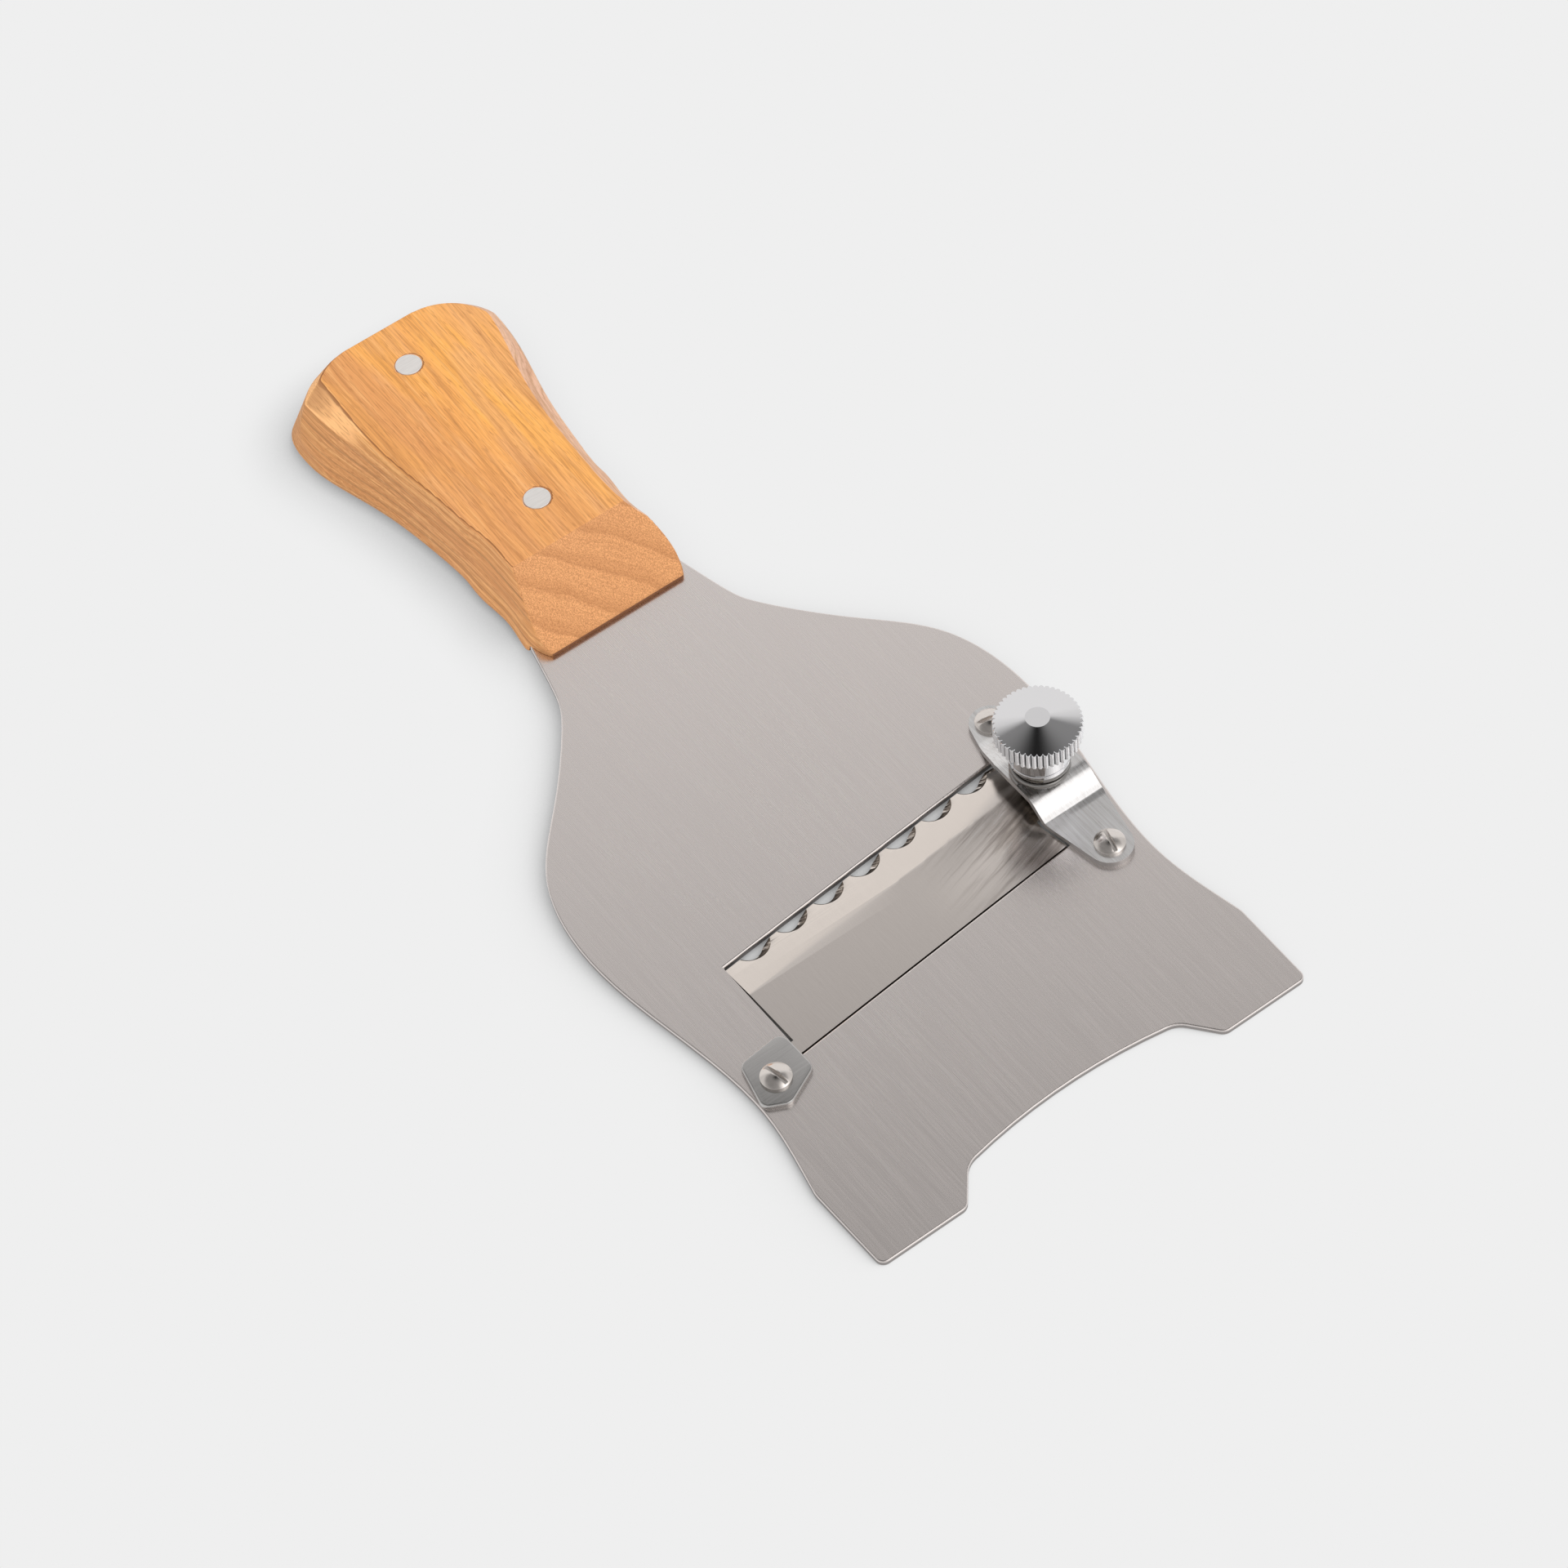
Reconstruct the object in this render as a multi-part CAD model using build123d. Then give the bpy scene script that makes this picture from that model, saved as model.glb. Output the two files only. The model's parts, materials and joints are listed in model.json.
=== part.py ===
from build123d import *
import os
from math import asin, atan2, cos, hypot, pi, radians, sin, sqrt, tan

# Truffle slicer in millimetres: x runs forward to the tip, y towards the knob, z up
# It is built with x = 0 at the tip and z = 0 on the plate's top face, then moved as one

# Plate: distances are behind the tip, half widths are from the middle line
plate_length = 138.0
plate_half_width = 45.8
plate_thickness = 1.2
plate_edge_radius = 0.3
tip_half_width_share = 0.9454
tip_corner_radius = 1.5
shoulder_corner_radius = 6.0
# Side from the shoulder to the neck, as shares of the plate's length and half width
side_shares = (
    (0.123, 0.954), (0.246, 0.893), (0.406, 0.944), (0.565, 1.000),
    (0.688, 0.916), (0.783, 0.679), (0.877, 0.455), (1.000, 0.344),
)
side_start_slope_share = -0.20
side_end_slope_share = -0.22

# Scoop between the two feet at the tip
scoop_half_width = 26.3
scoop_floor_half_width = 21.3
scoop_side_depth = 6.3
scoop_depth = 8.4
foot_corner_radius = 2.0
scoop_corner_radius = 4.5

# Tang inside the handle
tang_shoulder_length = 6.0
tang_half_width = 8.5
tang_length = 65.0
tang_end_radius = 3.0
neck_corner_radius = 1.5

# Window for the blade: its front and rear edges slant across the plate, and its ends are set
# from the plate's greatest half width, as are the lug, the bridge, the screws and the knob
window_front = 39.83
window_width = 21.85
window_left_inset = 16.35
window_right_inset = 6.7
window_slant = 5.19
window_edge_radius = 0.35
window_corner_radius = 0.5

# Blade
blade_thickness = 0.8
blade_recess = 0.05
blade_front_gap = 0.2
blade_rear_gap = 0.45
blade_left_front_gap = 0.55
blade_left_rear_gap = 0.15
blade_bevel_width = 6.7
blade_bevel_drop = 0.5
blade_tail_width = 10.0
blade_tail_shift = 1.4
blade_tail_overhang = 3.7
blade_tail_radius = 1.5
blade_bridge_gap = 0.25
tongue_width = 2.8
tongue_length = 3.4
tongue_gap = 0.25

# Scallops along the blade's rear edge
scallop_pitch = 8.12
scallop_radius = 3.85
scallop_depth = 2.2
scallop_grind_width = 0.5
first_scallop = 6.55

# Lug over the blade's tongue, with its corners as shares of its size from the screw
lug_thickness = 1.0
lug_length = 12.2
lug_width = 11.2
lug_corner_radius = 1.9
lug_edge_radius = 0.35
lug_corner_shares = ((-0.56, 0.53), (0.17, 0.55), (0.45, -0.08), (0.27, -0.46), (-0.48, -0.29))
lug_screw_back = 38.2
lug_screw_inset = 10.1

# Slotted screws
screw_diameter = 3.0
screw_head_diameter = 5.4
screw_head_height = 1.4
screw_head_rim = 0.5
screw_slot_width = 0.7
screw_slot_depth = 0.7
lug_screw_slot_angle = 11.0
front_screw_slot_angle = -14.0
rear_screw_slot_angle = 74.0

# Bridge: a strap bent up over the blade's free end
bridge_thickness = 1.1
bridge_rise = 2.9
bridge_width = 12.2
bridge_left_inset = 16.8
bridge_bend_radius = 0.7
bridge_front_tab_radius = 4.1
bridge_rear_tab_radius = 3.75
bridge_front_foot = 50.3
bridge_front_ramp = 3.8
bridge_top_length = 9.9
bridge_rear_ramp = 5.7
front_screw_back = 40.65
front_screw_inset = 10.8
rear_screw_back = 73.2
rear_screw_inset = 10.6

# Knob stack on the bridge
knob_back = 58.1
knob_inset = 11.7
bush_diameter = 6.0
bush_height = 1.6
bush_flange_diameter = 6.8
bush_flange_thickness = 0.5
stud_diameter = 4.0
stud_running_clearance = 0.06
stud_tip_diameter = 2.8
stud_tip_length = 1.2
stud_blade_gap = 0.1
stud_knob_depth = 5.6
washer_diameter = 10.6
washer_thickness = 0.75
washer_clearance = 0.2
washer_float = 0.05
boss_diameter = 10.6
boss_height = 5.2
boss_edge_radius = 0.4
head_diameter = 15.2
head_rim_height = 3.45
head_cone_height = 1.05
head_flat_diameter = 4.2
knurl_count = 46
knurl_depth = 0.45

# Spring between the bridge and the washer
spring_height = 4.1
spring_wire = 1.1
spring_mean_radius = 4.7
spring_turns = 1.85
spring_seat_gap = 0.02
spring_top_angle = -31.0
spring_arcs_per_turn = 4
spring_samples_per_turn = 60

# Handle
handle_front = 133.4
handle_length = 80.1
handle_half_width = 22.2
handle_top = 11.4
handle_drop = 4.2
handle_bottom_radius = 3.0
handle_shoulder_lean = 1.7
handle_chamfer_drop = 3.0
# Cross-sections: place along the length, then as shares of the half width the wall at the bottom,
# the shoulder and the top edge on the right, and the shoulder and the top edge on the left
handle_section_shares = (
    (-0.049, 0.586, 0.541, 0.477, 0.541, 0.486),
    (0.000, 0.640, 0.586, 0.509, 0.586, 0.523),
    (0.027, 0.694, 0.622, 0.523, 0.608, 0.541),
    (0.064, 0.721, 0.644, 0.532, 0.613, 0.550),
    (0.120, 0.698, 0.622, 0.527, 0.604, 0.554),
    (0.195, 0.685, 0.595, 0.509, 0.595, 0.554),
    (0.307, 0.694, 0.617, 0.518, 0.613, 0.577),
    (0.432, 0.721, 0.662, 0.550, 0.658, 0.622),
    (0.557, 0.784, 0.734, 0.608, 0.712, 0.676),
    (0.682, 0.892, 0.842, 0.716, 0.775, 0.698),
    (0.794, 0.991, 0.905, 0.811, 0.824, 0.676),
    (0.881, 1.000, 0.914, 0.829, 0.838, 0.658),
    (1.031, 1.000, 0.914, 0.829, 0.838, 0.631),
)
handle_bevel_length = 12.8
handle_front_strip = 1.0
handle_belly_start = 4.7
handle_belly_slope = 4.0
# Butt seen from above: it leans in towards the top and its corners are round
butt_lean = 5.9
butt_top_half_width = 18.5
butt_bottom_corner_radius = 9.5
butt_shoulder_corner_radius = 11.0
butt_top_corner_radius = 11.8
rivet_diameter = 4.9
front_rivet_back = 156.4
rear_rivet_back = 197.3

# One overrun serves every cut
overrun = 1.0

length = handle_front + handle_length
blade_top = -blade_recess
blade_bottom = blade_top - blade_thickness
bridge_top = bridge_rise + bridge_thickness
washer_bottom = bridge_top + spring_height
boss_bottom = washer_bottom + washer_thickness + washer_float
head_bottom = boss_bottom + boss_height
slant = radians(window_slant)
tip_half_width = tip_half_width_share * plate_half_width
window_left = plate_half_width - window_left_inset
window_right = plate_half_width - window_right_inset
bridge_left = plate_half_width - bridge_left_inset
lug_screw_left = plate_half_width - lug_screw_inset
front_screw_right = plate_half_width - front_screw_inset
rear_screw_right = plate_half_width - rear_screw_inset
knob_right = plate_half_width - knob_inset
lug_screw_place = (-lug_screw_back, -lug_screw_left)
front_screw_place = (-front_screw_back, front_screw_right)
rear_screw_place = (-rear_screw_back, rear_screw_right)
knob_place = (-knob_back, knob_right)
front_rivet_place = (-front_rivet_back, 0)
rear_rivet_place = (-rear_rivet_back, 0)


def flat_face(points):
    """A flat face through the given points."""
    return make_face(Polyline(*points, close=True))


def corners(face, places):
    """The vertices of a face that lie nearest to the given places."""
    return [min(face.vertices(), key=lambda v: (Vector(*place) - v.center()).length)
            for place in places]


def both_sides(place):
    """A place and its mirror image across the middle line."""
    return [place, (place[0], -place[1])]


def slab(face, bottom, top):
    """A face in plan raised between two heights."""
    return Pos(0, 0, bottom) * extrude(face, amount=top - bottom)


def rod(place, diameter, bottom, top):
    """An upright round bar."""
    return Pos(place[0], place[1], bottom) * Cylinder(
        diameter / 2, top - bottom, align=(Align.CENTER, Align.CENTER, Align.MIN))


def slanted(back, y):
    """A place on a line that slants as the window does, set by its distance at the left end."""
    return (-back - (y + window_left) * tan(slant), y)


# Plate

def plate_outline():
    """Outline of the plate and its tang."""
    tip = (0, tip_half_width)
    foot = (0, scoop_half_width)
    scoop = (-scoop_side_depth, scoop_floor_half_width)
    side = [(-along * plate_length, out * plate_half_width) for along, out in side_shares]
    neck = side[-1]
    tang_start = (neck[0] - tang_shoulder_length, tang_half_width)
    tang_end = (tang_start[0] - tang_length + tang_shoulder_length, tang_half_width)
    edge = Spline(*side, tangents=[(-1, side_start_slope_share), (-1, side_end_slope_share)])
    half = Curve() + [Polyline(scoop, foot, tip, side[0]), edge,
                      Polyline(neck, tang_start, tang_end, (tang_end[0], 0))]
    floor = ThreePointArc(scoop, (-scoop_depth, 0), (scoop[0], -scoop[1]))
    face = make_face(half.edges() + mirror(half, about=Plane.XZ).edges() + floor.edges())
    for place, radius in ((tip, tip_corner_radius), (foot, foot_corner_radius),
                          (scoop, scoop_corner_radius), (side[0], shoulder_corner_radius),
                          (neck, neck_corner_radius), (tang_start, neck_corner_radius),
                          (tang_end, tang_end_radius)):
        face = fillet(corners(face, both_sides(place)), radius)
    return face


def window_face():
    """Window for the blade, with the notch for its tongue."""
    window = flat_face([slanted(window_front, -window_left),
                        slanted(window_front, window_right),
                        slanted(window_front + window_width, window_right),
                        slanted(window_front + window_width, -window_left)])
    window = fillet(window.vertices(), window_corner_radius)
    front = window_front
    rear = window_front + blade_front_gap + tongue_width + tongue_gap
    notch = flat_face([(-front, overrun - window_left),
                       (-front, -window_left + blade_left_front_gap - tongue_length - tongue_gap),
                       (-rear, -window_left + blade_left_front_gap - tongue_length - tongue_gap),
                       (-rear, overrun - window_left)])
    return window + notch


def window_rim(back, way):
    """Strip that rounds the top rim of one long side, where way is 1 in front and -1 behind."""
    start = slanted(back, window_right if way > 0 else -window_left)
    plane = Plane(origin=(start[0], start[1], 0), x_dir=(way * cos(slant), way * sin(slant), 0),
                  z_dir=(way * sin(slant), -way * cos(slant), 0))
    size = window_edge_radius + overrun
    middle = (window_edge_radius - overrun) / 2
    strip = (Pos(middle, -middle) * Rectangle(size, size)
             - Pos(window_edge_radius, -window_edge_radius) * Circle(window_edge_radius))
    return extrude(plane * strip, amount=(window_left + window_right) / cos(slant))


def make_slicer_plate():
    """Steel plate with its window, screw holes and rivet holes."""
    body = slab(plate_outline(), -plate_thickness, 0)
    rims = body.edges().filter_by(Axis.Z, reverse=True)
    body = fillet(rims, plate_edge_radius)
    body -= slab(window_face(), -plate_thickness - overrun, overrun)
    body -= window_rim(window_front, 1)
    body -= window_rim(window_front + window_width, -1)
    for place in (lug_screw_place, front_screw_place, rear_screw_place):
        body -= rod(place, screw_diameter, -plate_thickness - overrun, overrun)
    for place in (front_rivet_place, rear_rivet_place):
        body -= rod(place, rivet_diameter, -plate_thickness - overrun, overrun)
    return body


# Blade

def blade_front_end():
    """Half width where the blade's front edge ends, in line with the bridge's left edge."""
    along = bridge_front_foot - front_screw_back
    out = front_screw_right - bridge_left
    slope = tan(atan2(out, along) - asin(bridge_front_tab_radius / hypot(along, out)))
    start = window_front + blade_front_gap + window_left * tan(slant)
    reach = bridge_left - blade_bridge_gap + slope * (bridge_front_foot - start)
    return reach / (1 + slope * tan(slant))


def blade_face():
    """Outline of the blade, with its tongue on the left and its tail under the bridge."""
    front = window_front + blade_front_gap
    rear = window_front + window_width - blade_rear_gap
    left_front = -window_left + blade_left_front_gap
    left_rear = -window_left + blade_left_rear_gap
    shoulder = bridge_left - blade_bridge_gap
    tail_front = -knob_back + blade_tail_width / 2 - blade_tail_shift
    tail_rear = tail_front - blade_tail_width
    tail_end = knob_right + blade_tail_overhang
    tongue_end = left_front - tongue_length
    face = flat_face([slanted(front, left_front),
                      slanted(front, blade_front_end()),
                      (-bridge_front_foot, shoulder),
                      (tail_front, shoulder),
                      (tail_front, tail_end),
                      (tail_rear, tail_end),
                      (tail_rear, shoulder),
                      slanted(rear, shoulder),
                      slanted(rear, left_rear),
                      (-front - tongue_width, left_front),
                      (-front - tongue_width, tongue_end),
                      (-front, tongue_end)])
    tail_corners = corners(face, [(tail_front, tail_end), (tail_rear, tail_end)])
    return fillet(tail_corners, blade_tail_radius)


def edge_place(along, outside=0):
    """A place along the blade's rear edge, moved outside it by the given distance."""
    rear = window_front + window_width - blade_rear_gap
    start = slanted(rear, -window_left)
    return (start[0] - along * sin(slant) - outside * cos(slant),
            start[1] + along * cos(slant) - outside * sin(slant))


def bevel_wedge():
    """Wedge that the top of the blade loses towards its rear edge."""
    start = edge_place(-overrun)
    run = Plane(origin=(start[0], start[1], blade_top), x_dir=(-cos(slant), -sin(slant), 0),
                z_dir=(-sin(slant), cos(slant), 0))
    fall = blade_bevel_drop / blade_bevel_width
    side = flat_face([(-blade_bevel_width, 0), (overrun, -blade_bevel_drop - fall * overrun),
                      (overrun, overrun), (-blade_bevel_width, overrun)])
    return extrude(run * side, amount=window_left + window_right + overrun)


def scallop_cone(along):
    """Ground scallop in the blade's rear edge, wider at the top of the edge than below."""
    place = edge_place(along, outside=scallop_radius - scallop_depth)
    edge_height = (blade_thickness - blade_bevel_drop
                   + blade_bevel_drop * scallop_depth / blade_bevel_width)
    spread = scallop_grind_width / edge_height
    bottom_radius = scallop_radius - scallop_grind_width - overrun * spread
    height = edge_height + 2 * overrun
    return Pos(place[0], place[1], blade_bottom - overrun) * Cone(
        bottom_radius, bottom_radius + height * spread, height,
        align=(Align.CENTER, Align.CENTER, Align.MIN))


def make_blade():
    """Toothed blade, ground to a thin edge along its rear side."""
    body = slab(blade_face(), blade_bottom, blade_top) - bevel_wedge()
    edge_length = (window_left + bridge_left) / cos(slant)
    scallop_count = 1 + int((edge_length - first_scallop) / scallop_pitch)
    for number in range(scallop_count):
        body -= scallop_cone(first_scallop + number * scallop_pitch)
    return body


# Lug and screws

def make_blade_lug():
    """Five-sided tab over the blade's tongue."""
    face = flat_face([(lug_screw_place[0] + along * lug_length, lug_screw_place[1] + out * lug_width)
                      for along, out in lug_corner_shares])
    face = fillet(face.vertices(), lug_corner_radius)
    body = slab(face, 0, lug_thickness)
    body = fillet(body.faces().sort_by(Axis.Z)[-1].edges(), lug_edge_radius)
    return body - rod(lug_screw_place, screw_diameter, 0, overrun)


def slotted_screw(place, grip, slot_angle):
    """Screw with a slotted dome head that clamps a grip to the plate."""
    radius = screw_head_diameter / 2
    rim = (radius, 0, screw_head_rim)
    dome_height = screw_head_height - screw_head_rim
    dome_radius = (radius ** 2 + dome_height ** 2) / (2 * dome_height)
    half_angle = atan2(radius, dome_radius - dome_height) / 2
    crown = (dome_radius * sin(half_angle), 0,
             screw_head_height - dome_radius * (1 - cos(half_angle)))
    top = (0, 0, screw_head_height)
    side = make_face(Polyline(top, (0, 0, 0), (radius, 0, 0), rim).edges()
                     + ThreePointArc(rim, crown, top).edges())
    head = revolve(side, Axis.Z)
    slot = Pos(0, 0, screw_head_height) * Box(
        screw_head_diameter + overrun, screw_slot_width, 2 * screw_slot_depth)
    head = Rot(0, 0, slot_angle) * (head - slot)
    shank = rod(place, screw_diameter, -plate_thickness, grip)
    return Pos(place[0], place[1], grip) * head + shank


# Bridge

def bridge_side(height_shift, outer):
    """One face line of the bent strap, its outer one or its inner one."""
    front_turn = atan2(bridge_rise, bridge_front_ramp) / 2
    rear_turn = atan2(bridge_rise, bridge_rear_ramp) / 2
    front_shift = 0 if outer else bridge_thickness * tan(front_turn)
    rear_shift = 0 if outer else bridge_thickness * tan(rear_turn)
    front_foot = -bridge_front_foot - front_shift
    rear_top = front_foot - bridge_front_ramp - bridge_top_length + front_shift + rear_shift
    ends = (-front_screw_back + bridge_front_tab_radius + overrun,
            -rear_screw_back - bridge_rear_tab_radius - overrun)
    points = [(ends[0], 0, height_shift),
              (front_foot, 0, height_shift),
              (front_foot - bridge_front_ramp, 0, height_shift + bridge_rise),
              (rear_top, 0, height_shift + bridge_rise),
              (rear_top - bridge_rear_ramp, 0, height_shift),
              (ends[1], 0, height_shift)]
    small = bridge_bend_radius
    large = bridge_bend_radius + bridge_thickness
    radii = [small, large, large, small] if outer else [large, small, small, large]
    return FilletPolyline(*points, radius=radii), points[0], points[-1]


def make_bridge():
    """Bent strap with a round tab at each end and a hole for the bush."""
    outer, outer_front, outer_rear = bridge_side(bridge_thickness, True)
    inner, inner_front, inner_rear = bridge_side(0, False)
    side = make_face(outer.edges() + inner.edges()
                     + [Line(outer_front, inner_front).edge(), Line(outer_rear, inner_rear).edge()])
    middle = bridge_left + bridge_width / 2
    strap = Pos(0, middle, 0) * extrude(side, amount=bridge_width / 2, both=True)
    front_tab = Pos(*front_screw_place) * Circle(bridge_front_tab_radius)
    rear_tab = Pos(*rear_screw_place) * Circle(bridge_rear_tab_radius)
    wide_length = bridge_front_ramp + bridge_top_length
    wide = Pos(-bridge_front_foot - wide_length / 2, middle) * Rectangle(wide_length, bridge_width)
    plan = make_hull(front_tab.edges() + rear_tab.edges() + wide.edges())
    body = strap & slab(plan, -overrun, bridge_top + overrun)
    for place in (front_screw_place, rear_screw_place):
        body -= rod(place, screw_diameter, -overrun, bridge_top)
    return body - rod(knob_place, bush_diameter, 0, bridge_top + overrun)


def make_bridge_bush():
    """Bush pressed up into the bridge, with a flange below and a neck inside the spring."""
    flange_bottom = bridge_rise - bush_flange_thickness
    bore = stud_diameter + 2 * stud_running_clearance
    neck = rod(knob_place, bush_diameter, flange_bottom, bridge_top + bush_height)
    flange = rod(knob_place, bush_flange_diameter, flange_bottom, bridge_rise)
    return neck + flange - rod(knob_place, bore, 0, bridge_top + bush_height + overrun)


# Knob

def make_thrust_washer():
    """Washer between the spring and the boss of the knob."""
    top = washer_bottom + washer_thickness
    bore = stud_diameter + 2 * washer_clearance
    return (rod(knob_place, washer_diameter, washer_bottom, top)
            - rod(knob_place, bore, washer_bottom - overrun, top + overrun))


def knurled_face():
    """Round face with rounded teeth and narrow hollows between them."""
    crest = head_diameter / 2
    root = crest - knurl_depth
    step = 2 * pi / knurl_count

    def at(radius, angle):
        return (radius * cos(angle), radius * sin(angle))

    edges = []
    for number in range(knurl_count):
        angle = number * step
        start = at(root, angle)
        end = at(root, angle + step)
        edges.append(ThreePointArc(start, at(crest, angle + step / 2), end).edge())
    return make_face(edges)


def make_knob_head():
    """Chromed knob: a boss, a knurled rim and a low cone with a flat top."""
    rim_radius = head_diameter / 2
    rim_top = head_bottom + head_rim_height
    top = rim_top + head_cone_height
    envelope = revolve(flat_face([(0, 0, head_bottom), (rim_radius, 0, head_bottom),
                                  (rim_radius, 0, rim_top), (head_flat_diameter / 2, 0, top),
                                  (0, 0, top)]), Axis.Z)
    head = slab(knurled_face(), head_bottom, top) & envelope
    boss = rod((0, 0), boss_diameter, boss_bottom, head_bottom)
    lower_rim = boss.edges().filter_by(GeomType.CIRCLE).sort_by(Axis.Z)[0]
    boss = fillet(lower_rim, boss_edge_radius)
    body = Pos(*knob_place) * (head + boss)
    return body - rod(knob_place, stud_diameter, boss_bottom - overrun, boss_bottom + stud_knob_depth)


def make_knob_stud():
    """Stud from the knob down through the bush, with a narrow tip on the blade."""
    tip_bottom = blade_top + stud_blade_gap
    shoulder = tip_bottom + stud_tip_length
    return (rod(knob_place, stud_diameter, shoulder, boss_bottom + stud_knob_depth)
            + rod(knob_place, stud_tip_diameter, tip_bottom, shoulder))


# Spring

def spring_point(angle, height):
    """A place on the spring's centre line."""
    return Vector(knob_place[0] + spring_mean_radius * cos(angle),
                  knob_place[1] + spring_mean_radius * sin(angle), height)


def biarc(start, start_way, end, end_way):
    """Two tangent arcs between two places with given directions."""
    way = end - start
    both = start_way + end_way
    square = 2 * (start_way.dot(end_way) - 1)
    linear = -2 * way.dot(both)
    constant = way.dot(way)
    reach = (-linear - sqrt(linear ** 2 - 4 * square * constant)) / (2 * square)
    if reach < 0:
        reach = (-linear + sqrt(linear ** 2 - 4 * square * constant)) / (2 * square)
    first = start + start_way * reach
    second = end - end_way * reach
    joint = (first + second) * 0.5
    joint_way = (second - first).normalized()
    return [TangentArc(start, joint, tangent=start_way).edge(),
            TangentArc(joint, end, tangent=joint_way).edge()]


def spring_line():
    """Centre line of the spring: biarcs of about a quarter turn, and two straight ends."""
    climb_angle = atan2(spring_height - spring_wire, 2 * pi * spring_mean_radius * spring_turns)
    end_climb = spring_wire * sin(climb_angle)
    low = bridge_top + spring_wire / 2 + end_climb + spring_seat_gap
    high = washer_bottom - spring_wire / 2 - end_climb - spring_seat_gap
    turn = -2 * pi * spring_turns
    rise = (high - low) / abs(turn)
    last_angle = radians(spring_top_angle)
    spans = round(spring_arcs_per_turn * spring_turns)

    def place_and_way(share):
        angle = last_angle - turn * (1 - share)
        way = Vector(spring_mean_radius * sin(angle), -spring_mean_radius * cos(angle), rise)
        return spring_point(angle, low + (high - low) * share), way.normalized()

    stations = [place_and_way(number / spans) for number in range(spans + 1)]
    start, start_way = stations[0]
    end, end_way = stations[-1]
    edges = [Line(start - start_way * spring_wire, start).edge()]
    for (low_place, low_way), (high_place, high_way) in zip(stations, stations[1:]):
        edges += biarc(low_place, low_way, high_place, high_way)
    edges.append(Line(end, end + end_way * spring_wire).edge())
    return Wire(edges)


def spring_gap(line):
    """Least gap of the spring to itself, measured on points of its centre line."""
    samples = round(spring_samples_per_turn * spring_turns)
    points = [line.position_at(number / samples) for number in range(samples + 1)]
    skip = round(samples / spring_turns / 2)
    spans = [(points[i] - points[j]).length
             for i in range(len(points)) for j in range(i + skip, len(points))]
    return min(spans) - spring_wire


def make_knob_spring():
    """Round-wire compression spring, one unbroken tube."""
    line = spring_line()
    print("spring: least gap to itself", round(spring_gap(line), 3))
    section = Plane(origin=line.position_at(0), z_dir=line.tangent_at(0)) * Circle(spring_wire / 2)
    return sweep(section, path=line)


# Handle

def handle_section(along, wall, right_shoulder, right_top, left_shoulder, left_top):
    """One cross-section of the handle, square to its length, with spare wood below to cut flat."""
    wall_out = wall * handle_half_width
    foot_out = wall_out - handle_bottom_radius
    foot_height = handle_bottom_radius - handle_drop
    shoulder_height = handle_top - handle_chamfer_drop
    round_inset = handle_bottom_radius * (1 - cos(radians(45)))
    x = -handle_front - along * handle_length

    def at(y, z):
        return (x, y, z)

    right_foot = at(foot_out, -handle_drop)
    right_wall = at(wall_out, foot_height)
    left_wall = at(-wall_out, foot_height)
    left_foot = at(-foot_out, -handle_drop)
    right_mid = at(wall_out - round_inset, round_inset - handle_drop)
    left_mid = at(round_inset - wall_out, round_inset - handle_drop)
    right_below = at(foot_out, -handle_drop - overrun)
    left_below = at(-foot_out, -handle_drop - overrun)
    upper = Polyline(right_wall,
                     at(right_shoulder * handle_half_width, shoulder_height),
                     at(right_top * handle_half_width, handle_top),
                     at(-left_top * handle_half_width, handle_top),
                     at(-left_shoulder * handle_half_width, shoulder_height),
                     left_wall)
    return make_face(ThreePointArc(right_foot, right_mid, right_wall).edges() + upper.edges()
                     + ThreePointArc(left_wall, left_mid, left_foot).edges()
                     + Polyline(left_foot, left_below, right_below, right_foot).edges())


def butt_face(height, half_width, radius):
    """Plan of the handle at one height, open to the front, with round rear corners."""
    front = -handle_front + overrun
    rise_share = (height + handle_drop) / (handle_top + handle_drop)
    rear = -length + butt_lean * rise_share
    face = flat_face([(front, -half_width), (front, half_width),
                      (rear, half_width), (rear, -half_width)])
    return Pos(0, 0, height) * fillet(corners(face, both_sides((rear, half_width))), radius)


def butt_body():
    """Space that the handle fills behind its front, which shapes the butt."""
    return loft([butt_face(-handle_drop, handle_half_width, butt_bottom_corner_radius),
                 butt_face(handle_top - handle_chamfer_drop, handle_half_width - handle_shoulder_lean,
                           butt_shoulder_corner_radius),
                 butt_face(handle_top, butt_top_half_width, butt_top_corner_radius)], ruled=True)


def side_body():
    """Side view of the handle: the bevelled front above the plate and the slope below it."""
    rear = -length - overrun
    belly = -handle_front - handle_belly_start
    face = flat_face([(rear, 0, -handle_drop),
                      (belly - handle_belly_slope, 0, -handle_drop),
                      (belly, 0, -plate_thickness),
                      (belly, 0, 0),
                      (-handle_front, 0, 0),
                      (-handle_front, 0, handle_front_strip),
                      (-handle_front - handle_bevel_length, 0, handle_top),
                      (rear, 0, handle_top)])
    return extrude(face, amount=handle_half_width + overrun, both=True)


def make_handle_block():
    """Wooden handle, slotted for the plate's tang and drilled for the rivets."""
    body = loft([handle_section(*row) for row in handle_section_shares])
    body = body & side_body() & butt_body()
    body -= slab(plate_outline(), -plate_thickness, 0)
    for place in (front_rivet_place, rear_rivet_place):
        body -= rod(place, rivet_diameter, -handle_drop - overrun, handle_top + overrun)
    return body


def make_rivet(place):
    """Rivet ground flush with the wood on both sides."""
    return rod(place, rivet_diameter, -handle_drop, handle_top)


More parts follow.
